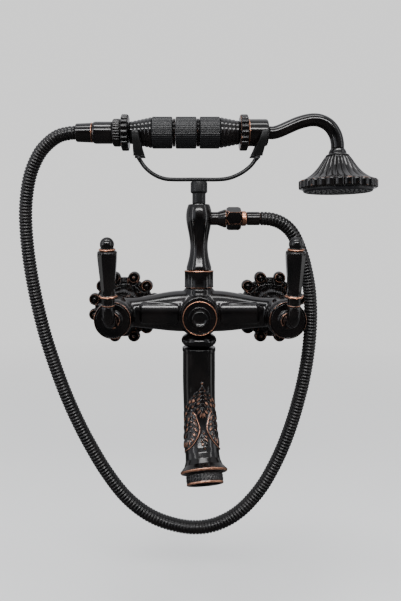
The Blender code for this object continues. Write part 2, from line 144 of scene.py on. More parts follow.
def mixed(tree, factor, a, b, blend="MIX"):
    """Mix two colours; each is a tuple or another node's output."""
    made = tree.nodes.new("ShaderNodeMix")
    made.data_type = "RGBA"
    made.blend_type = blend
    tree.links.new(factor, made.inputs["Factor"])
    for name, colour in (("A", a), ("B", b)):
        if isinstance(colour, tuple):
            made.inputs[name].default_value = (*colour, 1.0)
        else:
            tree.links.new(colour, made.inputs[name])
    return made.outputs["Result"]


def mixed_shaders(tree, factor, a, b):
    made = tree.nodes.new("ShaderNodeMixShader")
    for source, socket in zip((factor, a, b), made.inputs):
        tree.links.new(source, socket)
    return made.outputs["Shader"]


def worked_out(tree, operation, *terms):
    """A maths node; each term is a number or another node's output."""
    made = tree.nodes.new("ShaderNodeMath")
    made.operation = operation
    for socket, term in zip(made.inputs, terms):
        if isinstance(term, float):
            socket.default_value = term
        else:
            tree.links.new(term, socket)
    return made.outputs["Value"]


def new_material(name):
    material = bpy.data.materials.new(name)
    material.use_nodes = True
    return material, material.node_tree, material.node_tree.nodes["Principled BSDF"]


def add_bump(tree, shader, height, distance, strength):
    bump = node(tree, "ShaderNodeBump", Distance=distance, Strength=strength)
    tree.links.new(height, bump.inputs["Height"])
    tree.links.new(bump.outputs["Normal"], shader.inputs["Normal"])


DARK = (0.0022, 0.002, 0.0021)
DARK_WARM = (0.0055, 0.0042, 0.004)
COPPER = (0.42, 0.175, 0.105)
COPPER_PALE = (0.62, 0.33, 0.22)
RAGGED = 0.9                # how far the patchy noise shifts the copper's edge
COPPER_FROM, COPPER_FULL = 0.42, 0.74


def bronze_material(name, roughness=0.13):
    """Glossy near-black bronze; copper comes through where the point attribute 'wear' says so."""
    material, tree, shader = new_material(name)
    wear = tree.nodes.new("ShaderNodeAttribute")
    wear.attribute_name = "wear"
    patches = noise(tree, 260.0, 4.0).outputs["Fac"]
    ragged = worked_out(tree, "MULTIPLY_ADD", patches, RAGGED, -RAGGED / 2)
    total = worked_out(tree, "ADD", wear.outputs["Fac"], ragged)
    mask = spread(tree, total, COPPER_FROM, COPPER_FULL, 0.0, 1.0)
    cloud = noise(tree, 55.0, 2.0).outputs["Fac"]
    dark = mixed(tree, spread(tree, cloud, 0.35, 0.7, 0.0, 1.0), DARK, DARK_WARM)
    copper = mixed(tree, patches, COPPER, COPPER_PALE)
    tree.links.new(mixed(tree, mask, dark, copper), shader.inputs["Base Color"])
    tree.links.new(spread(tree, mask, 0.0, 1.0, 0.25, 1.0), shader.inputs["Metallic"])
    gloss = spread(tree, cloud, 0.3, 0.7, roughness * 0.8, roughness * 1.35)
    tree.links.new(worked_out(tree, "MULTIPLY_ADD", mask, 0.2, gloss), shader.inputs["Roughness"])
    shader.inputs["IOR"].default_value = 1.5
    add_bump(tree, shader, noise(tree, 900.0, 2.0).outputs["Fac"], 0.00006, 0.25)
    return material


def satin_material(name, colour, roughness, grain, metallic=0.0, bump=0.00008, specular=0.5):
    """A coated or moulded surface with a fine grain and slight blotches."""
    material, tree, shader = new_material(name)
    blotch = noise(tree, 70.0).outputs["Fac"]
    lighter = tuple(min(1.0, c * 1.5 + 0.001) for c in colour)
    tree.links.new(mixed(tree, blotch, colour, lighter), shader.inputs["Base Color"])
    dull = spread(tree, blotch, 0.3, 0.7, roughness * 0.85, roughness * 1.15)
    tree.links.new(dull, shader.inputs["Roughness"])
    shader.inputs["Metallic"].default_value = metallic
    shader.inputs["Specular IOR Level"].default_value = specular
    add_bump(tree, shader, noise(tree, grain).outputs["Fac"], bump, 0.5)
    return material


BRONZE = bronze_material("dark_bronze")
MATTE = satin_material("satin_black", (0.0035, 0.0035, 0.0038), 0.36, 1400.0, specular=0.3)
GRIP = satin_material("grip_black", (0.0035, 0.0035, 0.004), 0.32, 1800.0, bump=0.00003, specular=0.3)
SLEEVE = satin_material("prong_rubber", (0.0035, 0.0035, 0.0035), 0.38, 1500.0, specular=0.25)
HOSE_BLACK = bronze_material("hose_black", 0.24)
BRASS = satin_material("brass", (0.55, 0.38, 0.14), 0.3, 700.0, metallic=1.0)
PLASTIC = satin_material("cartridge_plastic", (0.7, 0.7, 0.67), 0.45, 900.0)
GASKET = satin_material("gasket_rubber", (0.03, 0.03, 0.03), 0.7, 1600.0)
FACE = satin_material("rose_face_black", (0.006, 0.006, 0.007), 0.35, 900.0, bump=0.00003, specular=0.3)


# Mesh building: every new piece is a skin over rings of points

def frame_at(place=(0, 0, 0), axis="+z"):
    turn = {"+z": Matrix.Identity(4), "-y": Matrix.Rotation(math.pi / 2, 4, "X"),
            "+x": Matrix.Rotation(math.pi / 2, 4, "Y")}[axis]
    return Matrix.Translation(Vector(place)) @ turn


def apply_matrix(matrix, points):
    m = np.array(matrix)
    return (points.reshape(-1, 3) @ m[:3, :3].T + m[:3, 3]).reshape(points.shape)


def add_piece(name, points, faces, material, wear, sharp):
    mesh = bpy.data.meshes.new(name)
    mesh.from_pydata((points * MM).tolist(), [], faces)
    layer = mesh.attributes.new("wear", "FLOAT", "POINT")
    layer.data.foreach_set("value", wear.astype(np.float32))
    bm = bmesh.new()
    bm.from_mesh(mesh)
    bmesh.ops.recalc_face_normals(bm, faces=bm.faces)
    bm.to_mesh(mesh)
    bm.free()
    mesh.shade_smooth()
    if sharp:
        mesh.set_sharp_from_angle(angle=math.radians(sharp))
    mesh.materials.append(material)
    return placed(name, mesh)


def skin(name, rings, material, wear=None, closed=False, sharp=None):
    """A surface over rings of points; its ends are capped, or joined to each other when closed."""
    rings = np.asarray(rings, dtype=float)
    rows, count = rings.shape[:2]
    points = rings.reshape(-1, 3)
    wear = np.zeros((rows, count)) if wear is None else np.broadcast_to(wear, (rows, count))
    wear = wear.reshape(-1)
    faces = []
    for row in range(rows if closed else rows - 1):
        low, high = row * count, (row + 1) % rows * count
        for i in range(count):
            j = (i + 1) % count
            faces.append((low + i, low + j, high + j, high + i))
    if not closed:
        ends = np.array([rings[0].mean(0), rings[-1].mean(0)])
        first, last = len(points), len(points) + 1
        points = np.vstack([points, ends])
        wear = np.append(wear, [wear[0], wear[-1]])
        for i in range(count):
            j = (i + 1) % count
            faces.append((first, j, i))
            faces.append((last, (rows - 1) * count + i, (rows - 1) * count + j))
    return add_piece(name, points, faces, material, wear, sharp)


def as_profile(points):
    """Rows of radius, height and wear; wear is 0 where it isn't given."""
    return np.array([p if len(p) == 3 else (*p, 0.0) for p in points], float)


def soften(profile, radius):
    """Round a profile's inner corners. Wear stays on its corner."""
    points = as_profile(profile)
    rounded = [points[0]]
    for a, b, c in zip(points, points[1:], points[2:]):
        before, after = a[:2] - b[:2], c[:2] - b[:2]
        reach = min(radius, 0.45 * np.linalg.norm(before), 0.45 * np.linalg.norm(after))
        start = b[:2] + before / np.linalg.norm(before) * reach
        end = b[:2] + after / np.linalg.norm(after) * reach
        for i in range(CORNER_STEPS):
            t = i / (CORNER_STEPS - 1)
            spot = (1 - t) ** 2 * start + 2 * t * (1 - t) * b[:2] + t * t * end
            rounded.append(np.array([*spot, b[2]]))
    rounded.append(points[-1])
    filled = [rounded[0]]
    for a, b in zip(rounded, rounded[1:]):
        gap = np.linalg.norm(b[:2] - a[:2])
        if gap > LONG_FLAT and (a[2] > 0 or b[2] > 0):
            along = (b - a)[:2] / gap
            filled.append(np.array([*(a[:2] + along * WORN_REACH), 0.0]))
            filled.append(np.array([*(b[:2] - along * WORN_REACH), 0.0]))
        filled.append(b)
    return np.array(filled)


def lengths_along(path):
    return np.append(0, np.cumsum(np.linalg.norm(np.diff(path, axis=0), axis=1)))


def with_steps(profile, rows, closed=False):
    """Add even steps between a profile's own points."""
    line = np.vstack([profile, profile[:1]]) if closed else profile
    length = lengths_along(line[:, :2])
    steps = np.linspace(0, length[-1], rows, endpoint=not closed)
    spots = np.union1d(length[:-1] if closed else length, steps)
    return np.stack([np.interp(spots, length, line[:, k]) for k in range(3)], 1)


def round_axis(profile, count):
    """Angle, radius, height and wear of every point of a turned surface, before any shaping."""
    r, h, wear = (np.repeat(profile[:, k:k + 1], count, 1) for k in range(3))
    return np.broadcast_to(np.arange(count) * 2 * math.pi / count, r.shape), r, h, wear


def turned_rings(profile, count, matrix, shape):
    """Rings of points and their wear. shape(angle, height, radius) gives the radius, or it and more wear."""
    theta, r, h, wear = round_axis(profile, count)
    if shape:
        made = shape(theta, h, r)
        r, more = made if isinstance(made, tuple) else (made, wear)
        wear = np.maximum(wear, more)
    return apply_matrix(matrix, np.stack([r * np.cos(theta), r * np.sin(theta), h], 2)), wear


def lathe(name, profile, material, matrix, shape=None, count=ROUND, radius=0.5, rows=None, raw=False):
    """A turned piece with closed ends. Its corners are rounded unless it is raw."""
    profile = as_profile(profile) if raw else soften(profile, radius)
    if rows:
        profile = with_steps(profile, rows)
    points, wear = turned_rings(profile, count, matrix, shape)
    return skin(name, points, material, wear)


def ring_piece(name, profile, material, matrix, shape=None, count=ROUND, rows=None):
    """A turned ring, open through its bore."""
    profile = as_profile(profile)
    if rows:
        profile = with_steps(profile, rows, closed=True)
    points, wear = turned_rings(profile, count, matrix, shape)
    return skin(name, points, material, wear, closed=True, sharp=35)


def bell_curve(x, centre, width):
    return np.exp(-((x - centre) / width) ** 2)


def step_up(x, low, high):
    t = np.clip((x - low) / (high - low), 0, 1)
    return t * t * (3 - 2 * t)


def smooth_path(points, per_span):
    """A curve through all the points."""
    knots = [Vector(p) for p in points]
    knots = [knots[0] * 2 - knots[1]] + knots + [knots[-1] * 2 - knots[-2]]
    path = []
    for i in range(1, len(knots) - 2):
        a, b, c, d = knots[i - 1:i + 3]
        for k in range(per_span):
            t = k / per_span
            path.append(0.5 * (2 * b + (c - a) * t + (2 * a - 5 * b + 4 * c - d) * t * t
                               + (3 * b - a - 3 * c + d) * t ** 3))
    path.append(knots[-2])
    return np.array(path)


def smooth_outline(knots, per_span):
    """A smooth line through points of radius and height."""
    return [(p[0], p[2]) for p in smooth_path([(r, 0, h) for r, h in knots], per_span)]


def even_path(path, count):
    length = lengths_along(path)
    spots = np.linspace(0, length[-1], count)
    return np.stack([np.interp(spots, length, path[:, k]) for k in range(3)], 1)


def sweep(path, radii, count, up=(0, 1, 0)):
    """Rings round a path, with a frame carried along it so that it never twists."""
    tangent = np.gradient(path, axis=0)
    tangent /= np.linalg.norm(tangent, axis=1)[:, None]
    side = np.array(up, float)
    angle = np.arange(count) * 2 * math.pi / count
    rings = []
    for centre, heading, r in zip(path, tangent, radii):
        side = side - heading * side.dot(heading)
        side /= np.linalg.norm(side)
        other = np.cross(heading, side)
        rings.append(centre + r * (np.outer(np.cos(angle), side) + np.outer(np.sin(angle), other)))
    return np.array(rings)


def stands_for(obj, body, *nodes, slot="dark_bronze"):
    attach(obj, body)
    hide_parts(*nodes)


def joined(name, pieces):
    """One mesh of several."""
    bm = bmesh.new()
    for piece in pieces:
        bm.from_mesh(piece.data)
        bpy.data.objects.remove(piece, do_unlink=True)
    mesh = bpy.data.meshes.new(name)
    bm.to_mesh(mesh)
    bm.free()
    return placed(name, mesh)


def coat(obj, material):
    obj.data.materials.clear()
    obj.data.materials.append(material)
    obj.data.shade_smooth()


# Hose

def build_hose():
    """A round hose with rolled ribs; its ends run a little way into their fittings."""
    per_span, fine, per_rib, sides = 12, 3000, 8, 32
    route = smooth_path(HOSE_ROUTE, per_span)
    lead = np.array([HOSE_LEAD, 0, 0])
    route = even_path(np.vstack([route[0] - lead, route, route[-1] + lead]), fine)
    length = np.linalg.norm(np.diff(route, axis=0), axis=1).sum()
    ribs = round(length / HOSE_RIB_PITCH)
    path = even_path(route, ribs * per_rib + 1)
    phase = np.arange(len(path)) / per_rib * 2 * math.pi
    crest = np.sqrt(np.abs(np.sin(phase / 2)))
    radii = HOSE_R - HOSE_RIB_DEPTH + HOSE_RIB_DEPTH * crest
    hose = skin("hose_ribbed", sweep(path, radii, sides), HOSE_BLACK)
    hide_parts("hose")
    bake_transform(hose)


# Wall connections

LOBES = np.radians((18.2, 46.9, 75.6, 104.4, 133.1, 161.8))     # from the top, on both sides
LOBE_CENTRE = 31.7
LOBE_R = 6.2
WEB_R = 30.6


def rosette_outline(angle):
    """Reach of the flower's edge, the angle from the nearest lobe and from the nearest gap's middle."""
    tilt = np.abs((angle + math.pi / 2) % (2 * math.pi) - math.pi)
    off = np.min(np.abs(tilt[:, None] - LOBES), axis=1)
    gaps = np.concatenate([[0], (LOBES[1:] + LOBES[:-1]) / 2, [math.pi]])
    gap = np.min(np.abs(tilt[:, None] - gaps), axis=1)
    side = LOBE_CENTRE * np.sin(off)
    reach = LOBE_CENTRE * np.cos(off) + np.sqrt(np.maximum(LOBE_R ** 2 - side ** 2, 0))
    return np.maximum(np.where(side < LOBE_R, reach, 0), WEB_R), off, gap


def build_rosette(side, x):
    """A cast flower: twelve eyes with beads, V ribs below them and a fluted dome in the middle."""
    count, rows, bore, bore_h, plate_h = 540, 90, 13.6, 20.9, 5.0
    eye_r, bead_r, dome_r, dome_h = 4.6, 2.3, 23.8, 15.8
    angle = np.arange(count) * 2 * math.pi / count
    reach, off, gap = rosette_outline(angle)
    r = bore + (reach[None] - bore) * np.linspace(0, 1, rows)[:, None]
    theta = np.broadcast_to(angle, r.shape)
    across = r * np.sin(off)
    eye = np.hypot(r * np.cos(off) - LOBE_CENTRE, across)
    h = plate_h + 1.9 * bell_curve(eye, eye_r, 0.8) * (eye < 8)
    h += 1.9 * np.sqrt(np.clip(1 - (eye / bead_r) ** 2, 0, 1))
    h -= 1.2 * step_up(4.4 - eye, 0, 1.0) * (eye > bead_r)
    shield = np.abs(across - np.interp(r, (22.4, 24.6, 31.0), (0, 4.3, 5.6)))
    ribs = bell_curve(shield, 0, 0.55) * (r > 22.0) * (r < 30.5) * (eye > 5.0)
    h += 0.9 * ribs
    bars = sum(bell_curve(r, bar, 0.4) for bar in (25.6, 27.4, 29.2))
    h += 0.8 * bars * (r * gap < 2.0)
    flutes = np.abs(np.cos(theta * 24)) * step_up(r, 15.2, 16.5) * step_up(-r, -22.8, -21.0)
    h += step_up(dome_r - r, 0, 7.0) * dome_h + 0.55 * flutes
    # Copper wear on the eye rings, beads and V ribs. On the beads and ribs it is also a painted highlight:
    # the copper lightens the lines that would catch the light.
    wear = 0.5 * bell_curve(eye, 4.8, 0.5) + 0.4 * (eye < 1.7) + 0.5 * ribs
    h[-1], h[-2], h[-3] = 0.0, 3.6, 4.6
    h[0] = h[1] = bore_h
    rings = np.stack([r * np.cos(theta), r * np.sin(theta), h], 2)
    inner = rings[:1].copy()
    inner[..., 2] = 0.0
    points = apply_matrix(frame_at((x, 0, 0), "-y"), np.vstack([inner, rings]))
    wear = np.vstack([wear[:1] * 0, wear])
    piece = skin(f"rosette_cast_{side}", points, BRONZE, wear, closed=True, sharp=50)
    stands_for(piece, "mixer", f"rosette_{side}")


def hex_shape(across_corners, low, high, chamfer=1.2):
    """A hexagon whose corners are turned down at both ends."""
    flat = across_corners * math.cos(math.pi / 6)

    def shape(theta, h, r):
        off = theta % (math.pi / 3) - math.pi / 6
        edge = flat / np.cos(off)
        cone = flat + 0.3 + (np.minimum(h - low, high - h)) / chamfer * (across_corners - flat)
        hexed = np.minimum(edge, np.maximum(cone, flat + 0.1))
        corner = np.clip((hexed - flat) / (across_corners - flat), 0, 1)
        wear = np.maximum(0.6 * step_up(corner, 0.75, 0.95), 0.7 * bell_curve(edge - cone, 0, 0.25))
        return np.where(r > flat * 0.98, hexed, r), np.where(r > flat * 0.98, wear, 0)
    return shape


def tube_profile(outer, bore, low, high, bevel=0.4):
    """A closed ring profile: up the outside and back down the bore."""
    return [(bore, low), (outer - bevel, low), (outer, low + bevel), (outer, high - bevel),
            (outer - bevel, high), (bore, high)]


def union_thread(theta, h, r):
    """A single-start thread on the end that goes into the wall."""
    depth, pitch = 0.35, 1.8
    return r - depth * (r > 10) * (h < 0) * (0.5 + 0.5 * np.sin(theta + h * 2 * math.pi / pitch))


def build_inlet(side, x):
    build_rosette(side, x)
    matrix = frame_at((x, 0, 0), "-y")
    corners, low, high = 17.2, 22, 38
    nut = ring_piece(f"union_nut_hex_{side}", tube_profile(corners, 13.5, low, high), BRONZE, matrix,
                     hex_shape(corners, low, high), count=120, rows=60)
    stands_for(nut, "mixer", f"union_nut_{side}")
    outline = [(7, -16), (9.6, -16), (10.4, -15.2), (10.4, 2), (12.6, 2.2), (13, 2.8), (13, 29.4), (12.6, 30),
               (7, 30)]
    union = ring_piece(f"wall_union_turned_{side}", outline, BRASS, matrix, union_thread, rows=220)
    stands_for(union, "mixer", f"wall_union_{side}", slot="brass")


# Mixer body

def body_cage():
    """The casting's rough parts, which are then fused and smoothed into one skin."""
    pieces = []

    def turned(profile, place, axis="-y"):
        pieces.append(lathe("cage", profile, BRONZE, frame_at(place, axis), count=64, radius=0.8))

    turned([(10, 40), (14.5, 42), (17, 46), (18.6, 52), (18.8, 62), (17.6, 71), (16.4, 79.9)], (0, 0, 2))
    for sign in (-1.0, 1.0):
        turned([(15, 38.6), (16.9, 41.4), (16.9, 84.4), (15.4, 87.9)], (sign * INLET_X, 0, 0))
        pieces.append(skin("cage", arm_rings(sign), BRONZE))
    turned([(17, 4), (15.6, 14), (14, 20), (13.2, 24.9)], (0, BODY_DEPTH, 0), "+z")
    turned([(12.4, -16.6), (15, -12), (16, -3)], (0, BODY_DEPTH, 0), "+z")
    return pieces


def arm_rings(sign):
    """One arm: rounded squares that shrink and sink on the way to the inlet."""
    count, squareness = 48, 0.78
    angle = (np.arange(count) + 0.5) * 2 * math.pi / count
    c, q = np.cos(angle), np.sin(angle)
    rings = []
    for s in np.linspace(4, 68, 18):
        blend = step_up(s, 14, 66)
        centre, height, depth = 3.7 - 1.3 * blend, 18.6 - 5.4 * blend, 15.6 - 2.1 * blend
        y = BODY_DEPTH + depth * np.sign(c) * np.abs(c) ** squareness
        z = centre + height * np.sign(q) * np.abs(q) ** squareness
        rings.append(np.stack([np.full(count, sign * s), y, z], 1))
    return rings


def build_body():
    body = joined("mixer_body_cast", body_cage())
    remesh = body.modifiers.new("fuse", "REMESH")
    remesh.mode = "VOXEL"
    remesh.voxel_size = 0.7 * MM
    remesh.use_smooth_shade = True
    smooth = body.modifiers.new("smooth", "SMOOTH")
    smooth.factor = 0.5
    smooth.iterations = 14
    depsgraph = bpy.context.evaluated_depsgraph_get()
    mesh = bpy.data.meshes.new_from_object(body.evaluated_get(depsgraph))
    body.modifiers.clear()
    body.data = mesh
    raise_pads(mesh)
    coat(body, BRONZE)
    mesh.attributes.new("wear", "FLOAT", "POINT")
    stands_for(body, "mixer", "mixer_body")


PAD_X, PAD_Z = 35.5, 2.8            # the pads' middles
PAD_HALF_X, PAD_HALF_Z = 17.5, 9.6
PAD_CORNER = 3.2
PAD_CURVE = 20.0                    # radius of the pads' faces, seen from the side
PAD_PROUD = 17.6                    # face in front of the body's axis
PAD_SLANT = 0.02


def raise_pads(mesh):
    """The raised panel on the front of each arm: a rounded rectangle with a soft step round it."""
    points = np.zeros(len(mesh.vertices) * 3, dtype=np.float32)
    normals = np.zeros_like(points)
    mesh.vertices.foreach_get("co", points)
    mesh.vertices.foreach_get("normal", normals)
    points = points.reshape(-1, 3) / MM
    normals = normals.reshape(-1, 3)
    qx = np.abs(np.abs(points[:, 0]) - PAD_X) - PAD_HALF_X + PAD_CORNER
    qz = np.abs(points[:, 2] - PAD_Z) - PAD_HALF_Z + PAD_CORNER
    outside = np.hypot(np.maximum(qx, 0), np.maximum(qz, 0)) + np.minimum(np.maximum(qx, qz), 0) - PAD_CORNER
    sag = PAD_CURVE - np.sqrt(np.maximum(PAD_CURVE ** 2 - (points[:, 2] - PAD_Z) ** 2, 0))
    face = BODY_DEPTH - PAD_PROUD + PAD_SLANT * np.abs(points[:, 0]) + sag
    raised = (1 - step_up(outside, -1.7, 0.4)) * (normals[:, 1] < -0.1)
    points[:, 1] += raised * (face - points[:, 1])
    mesh.vertices.foreach_set("co", (points * MM).astype(np.float32).reshape(-1))
    mesh.update()


# Lever handles

def lever_matrix(x):
    """The frame at a grip's foot, along its leaning centre line."""
    gap = 0.3
    lean = Vector((0, -math.sin(LEVER_LEAN), math.cos(LEVER_LEAN)))
    foot = Vector(lever_path(x)[-1]) + lean * gap
    return Matrix.Translation(foot) @ Matrix.Rotation(LEVER_LEAN, 4, "X")


def lever_path(x):
    """The stem's centre line: out of the hub, round a bend and up the lean."""
    start, bend_from, bend_r, rise, steps = -96.8, -104, 12.5, 7.5, 24
    points = [(x, start, 0), (x, bend_from, 0)]
    for i in range(1, steps + 1):
        angle = (math.pi / 2 + LEVER_LEAN) * i / steps
        points.append((x, bend_from - bend_r * math.sin(angle), bend_r * (1 - math.cos(angle))))
    last = points[-1]
    points.append((x, last[1] - rise * math.sin(LEVER_LEAN), last[2] + rise * math.cos(LEVER_LEAN)))
    return np.array(points)


def build_lever(side, x):
    body = f"lever_{side}"
    outline = [(4, 88.4), (15.2, 88.4), (15.9, 89.2), (15.9, 93.7), (15.7, 94.35, 0.55), (15.4, 94.4, 0.2),
               (15.1, 93.5), (14.5, 93.3), (14.2, 94.0, 0.2), (13.4, 94.1), (8.9, 93.9), (8.6, 94.8, 0.15),
               (7.8, 95.2), (6.8, 95.3), (6.6, 96.3, 0.45), (6.1, 96.5, 0.45), (5.6, 96.4)]
    hub = lathe(f"handle_hub_turned_{side}", outline, BRONZE, frame_at((x, 0, 0), "-y"))
    stands_for(hub, body, f"handle_hub_{side}")

    rows, sides, stem_r, ring_from_end = 110, 40, 5.2, 5.8
    path = even_path(lever_path(x), rows)
    length = lengths_along(path)
    ring = bell_curve(length, length[-1] - ring_from_end, 0.42)
    rings = sweep(path, stem_r + 0.4 * ring, sides, up=(1, 0, 0))
    stem = skin(f"lever_stem_bent_{side}", rings, BRONZE, np.repeat((0.75 * ring)[:, None], sides, 1))
    stands_for(stem, body, f"lever_stem_{side}")

    matrix = lever_matrix(x)
    outline = [(4.8, 0), (6.9, 0.2, 0.8), (7.6, 0.9, 0.9), (7.3, 1.7, 0.8), (5.7, 2.4), (5.6, 4.4), (6.2, 12),
               (7.1, 22), (7.9, 31), (8.1, 35), (8.0, 37.2), (7.2, 38.2), (4.6, 38.4)]
    grip = lathe(f"lever_grip_faceted_{side}", outline, BRONZE, matrix, lever_grip_shape, rows=90)
    stands_for(grip, body, f"lever_grip_{side}")

    ball_r, ball_h = 5.7, 43.6
    ball = [(ball_r * math.sin(a), ball_h - ball_r * math.cos(a)) for a in np.linspace(1.0, 3.1, 28)]
    outline = [(4.6, 38.7), (6.4, 38.8, 0.8), (6.8, 39.4, 0.9), (6.4, 40.0, 0.8), (5.2, 40.4)] + ball[2:]
    finial = lathe(f"lever_finial_ball_{side}", outline, BRONZE, matrix, radius=0.35)
    stands_for(finial, body, f"lever_finial_{side}")


def lever_grip_shape(theta, h, r):
    """Eight flats on the grip and eight soft points on its copper collar."""
    flats = 8
    half = math.pi / flats
    off = (theta + half) % (2 * half) - half
    fade = step_up(h, 4.0, 8.0) * step_up(-h, -37.5, -35.0)
    flat = math.cos(half) / np.cos(off)
    collar = (h < 2.4) * step_up(r, 5.6, 7.0)
    points = 0.5 + 0.5 * np.cos(theta * flats)
    return r * (1 + fade * (flat * 1.01 - 1)) - collar * 0.8 * (1 - points)


# Diverter

def build_diverter():
    front = frame_at((0, 0, 0), "-y")
    outline = [(2.9, 80.4), (14.5, 80.4), (15.2, 81.2), (15.2, 83.4), (15.0, 84.2, 0.8), (14.4, 84.3, 0.8),
               (14.1, 83.4), (13.8, 82.9), (9.8, 82.9), (9.5, 83.5, 0.2), (8.3, 83.5), (2.9, 83.5)]
    dial = lathe("diverter_dial_turned", outline, BRONZE, front, dial_marks, rows=120, count=180)
    stands_for(dial, "mixer", "diverter_dial")
    outline = [(2.5, 62), (2.5, 83.8), (7.0, 83.9), (7.5, 84.5), (7.5, 88.2), (6.9, 89.9), (5.9, 90.2),
               (4.4, 89.4), (2.2, 88.9), (0.3, 88.8)]
    knob = lathe("diverter_knob_dished", outline, BRONZE, front, radius=0.8)
    stands_for(knob, "diverter", "diverter_knob")


def dial_marks(theta, h, r):
    """Small copper dots at the dial's stops: left, right and bottom."""
    place_r, floor_h, level = 11.4, 82.5, 0.55
    dots = 0 * r
    for stop in (0.0, math.pi, -math.pi / 2):
        x = r * np.cos(theta) - place_r * math.cos(stop)
        y = r * np.sin(theta) - place_r * math.sin(stop)
        dots = np.maximum(dots, np.exp(-(x * x + y * y) / 0.6))
    return r, level * dots * (h > floor_h)


# Riser, hose outlet and cradle

def build_riser():
    base = frame_at((0, BODY_DEPTH, 0))
    outline = [(9.6, 25.4), (13.0, 25.4, 0.5), (13.4, 25.7, 0.6), (13.4, 26.3, 0.1), (13.2, 26.8),
               (13.2, 39.2), (13.4, 39.6, 0.1), (13.5, 40.3, 0.75), (13.1, 40.8, 0.8), (9.6, 40.9)]
    stands_for(ring_piece("riser_collar_turned", outline, BRONZE, base), "mixer", "riser_collar")
    knots = [(11.5, 41.4), (11.4, 44), (10.2, 48.5), (8.9, 54.2), (8.2, 61), (8.4, 67), (9.4, 74), (10.8, 81),
             (11.75, 87), (11.9, 91.5), (11.4, 96), (10.3, 100), (9.6, 101.4)]
    vase = lathe("riser_vase", [(9, 33.4), (9, 41.2)] + smooth_outline(knots, 6), BRONZE, base, raw=True)
    side = frame_at((0, BODY_DEPTH, OUTLET_Z), "+x")
    outline = [(6.1, 4), (6.1, 17), (6.6, 18.2), (8.4, 23.4, 0.3), (8.5, 24.6, 0.5), (7.6, 25), (5.6, 25.1),
               (5.6, 36)]
    fused = joined("riser_cast", [vase, lathe("outlet_stub_turned", outline, BRONZE, side)])
    coat(fused, BRONZE)
    stands_for(fused, "mixer", "riser")

    corners, low, high = 10.7, 25.4, 38.2
    nut = ring_piece("hose_nut_hex", tube_profile(corners, 6.1, low, high, bevel=0.3), BRONZE, side,
                     hex_shape(corners, low, high, chamfer=2.2), count=144, rows=90)
    stands_for(nut, "mixer", "hose_nut")
    outline = [(5.4, 38.6), (6.4, 38.8, 0.9), (6.9, 39.6, 1.0), (6.9, 42.4, 1.0), (6.4, 43.2, 0.9),
               (5.4, 43.4)]
    stands_for(lathe("hose_ring_turned", outline, BRONZE, side), "mixer", "hose_ring", slot="copper_ring")
    outline = [(5.4, 43.7), (6.0, 44.0), (6.2, 45), (6.2, 54.6), (6.0, 55.7, 0.4), (5.2, 56)]
    stands_for(lathe("hose_sleeve_turned", outline, BRONZE, side), "mixer", "hose_sleeve")


def build_cradle():
    outline = [(5.6, 101.9), (6.2, 102.4), (6.2, 111.6), (7.3, 112.1), (7.8, 112.8), (7.8, 121.4),
               (7.3, 122.1), (4, 122.2)]
    post = lathe("cradle_post_turned", outline, MATTE, frame_at((0, BODY_DEPTH, 0)))
    stands_for(post, "mixer", "cradle_post", slot="matte_black")

    left, right, bar_z, bar_reach, wire_r, bar_r = -54.6, 52.3, 143.0, 8.6, 1.9, 2.05
    route = [(left, 142.9), (-49.5, 135.6), (-42, 129.4), (-33.5, 125.6), (-24, 124.4), (-2, 124.4),
             (18, 124.4), (29, 126), (39, 130.4), (47, 136.4), (right, 142.9)]
    path = even_path(smooth_path([(x, BODY_DEPTH, z) for x, z in route], 8), 90)
    pieces = [skin("yoke_wire", sweep(path, np.full(len(path), wire_r), 24), MATTE)]
    for x in (left, right):
        line = np.array([(x, BODY_DEPTH + s, bar_z) for s in np.linspace(-bar_reach, bar_reach, 9)])
        pieces.append(skin("bar", sweep(line, np.full(len(line), bar_r), 24, up=(1, 0, 0)), MATTE))
    yoke = joined("cradle_yoke_bent", pieces)
    coat(yoke, MATTE)
    stands_for(yoke, "mixer", "cradle_yoke", slot="matte_black")
    for side, foot, head, reach in (("left", left, -57.9, 13.7), ("right", right, 59.1, 14.9)):
        for place, sign in (("front", -1.0), ("rear", 1.0)):
            build_prong(side, place, sign, foot, head, reach)


def build_prong(side, place, sign, foot, head, reach):
    """A moulded sleeve on one tine: flared at its foot and rounded at its tip."""
    rows, count, squareness, tip_from, tip_length = 40, 32, 0.5, 0.93, 0.07
    bends = (0, 0.35, 0.7, 1)
    stations = np.linspace(0, 1, rows)
    out = np.interp(stations, bends, (6.6, 10.2, reach, reach + 0.6))
    out = np.convolve(np.pad(out, 4, "edge"), np.ones(9) / 9, "valid")
    angle = np.arange(count) * 2 * math.pi / count
    c, s = np.cos(angle), np.sin(angle)
    rings = []
    for t, o in zip(stations, out):
        z = np.interp(t, bends, (145.4, 152, 159.5, 166.7))
        wide = 6.5 + 3.2 * (1 - step_up(t, 0, 0.75)) + 0.7 * (1 - step_up(t, 0, 0.08))
        thick = np.interp(t, bends, (4.3, 3.8, 3.4, 3.2))
        tip = math.sqrt(max(0.0, 1 - max(0.0, (t - tip_from) / tip_length) ** 2)) * 0.5 + 0.5
        x = foot + (head - foot) * t + wide / 2 * tip * np.sign(c) * np.abs(c) ** squareness
        y = BODY_DEPTH + sign * o + thick / 2 * tip * np.sign(s) * np.abs(s) ** squareness
        rings.append(np.stack([x, y, np.full(count, z)], 1))
    prong = skin(f"prong_sleeve_{side}_{place}", rings, SLEEVE)
    stands_for(prong, "mixer", f"cradle_prong_{side}_{place}", slot="prong_sleeve")


# Hand shower

def ring_lobes(theta, h, r):
    """Rounded lobes round the two lobed rings."""
    count, depth = 18, 2.1
    bump = np.abs(np.cos(theta * count / 2)) ** 0.7
    return r - depth * step_up(r, 11.5, 14.0) * (1 - bump)


